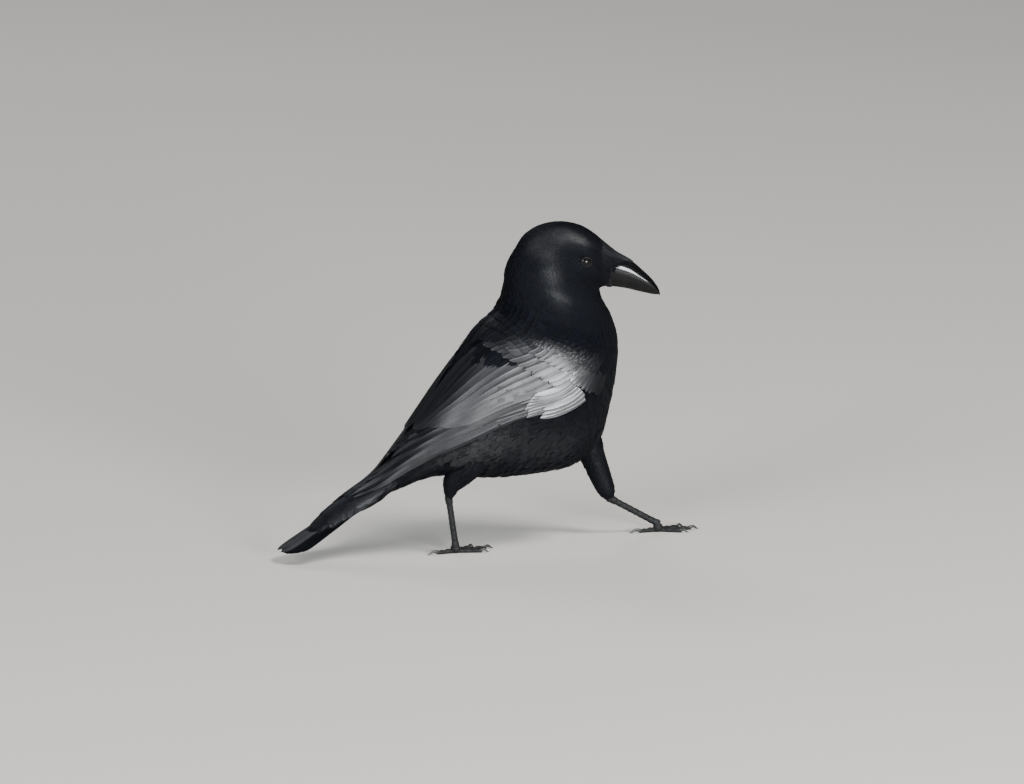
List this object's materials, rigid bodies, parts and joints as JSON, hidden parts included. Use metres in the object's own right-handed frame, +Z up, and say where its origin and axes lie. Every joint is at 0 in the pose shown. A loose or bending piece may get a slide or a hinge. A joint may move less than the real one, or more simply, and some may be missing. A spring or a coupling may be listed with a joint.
{
  "type": "crow",
  "caption": "Life-size crow walking with wings folded and tail held low: one leg planted behind, the other stretched forward, head turned a little aside.",
  "frame": {"origin": "on the floor under the middle of the bird's bounding box, at the level of its soles", "axes": "+X the way the bird walks, +Y its left side, +Z up"},
  "size_m": [0.4026, 0.1075, 0.2965],
  "materials": {
    "plumage": "satin",
    "horn": "satin",
    "leg_skin": "satin",
    "eye": "polished"
  },
  "bodies": {
    "root": {"torso": "plumage", "neck": "plumage", "head": "plumage", "wing_left": "plumage", "wing_right": "plumage", "tail": "plumage", "shank_left": "plumage", "shank_right": "plumage", "bill_upper": "horn", "bill_lower": "horn", "claw_left_1": "horn", "claw_left_2": "horn", "claw_left_3": "horn", "claw_left_4": "horn", "claw_right_1": "horn", "claw_right_2": "horn", "claw_right_3": "horn", "claw_right_4": "horn", "tarsus_left": "leg_skin", "tarsus_right": "leg_skin", "foot_left": "leg_skin", "foot_right": "leg_skin", "eye_left": "eye", "eye_right": "eye"}
  },
  "joints": []
}
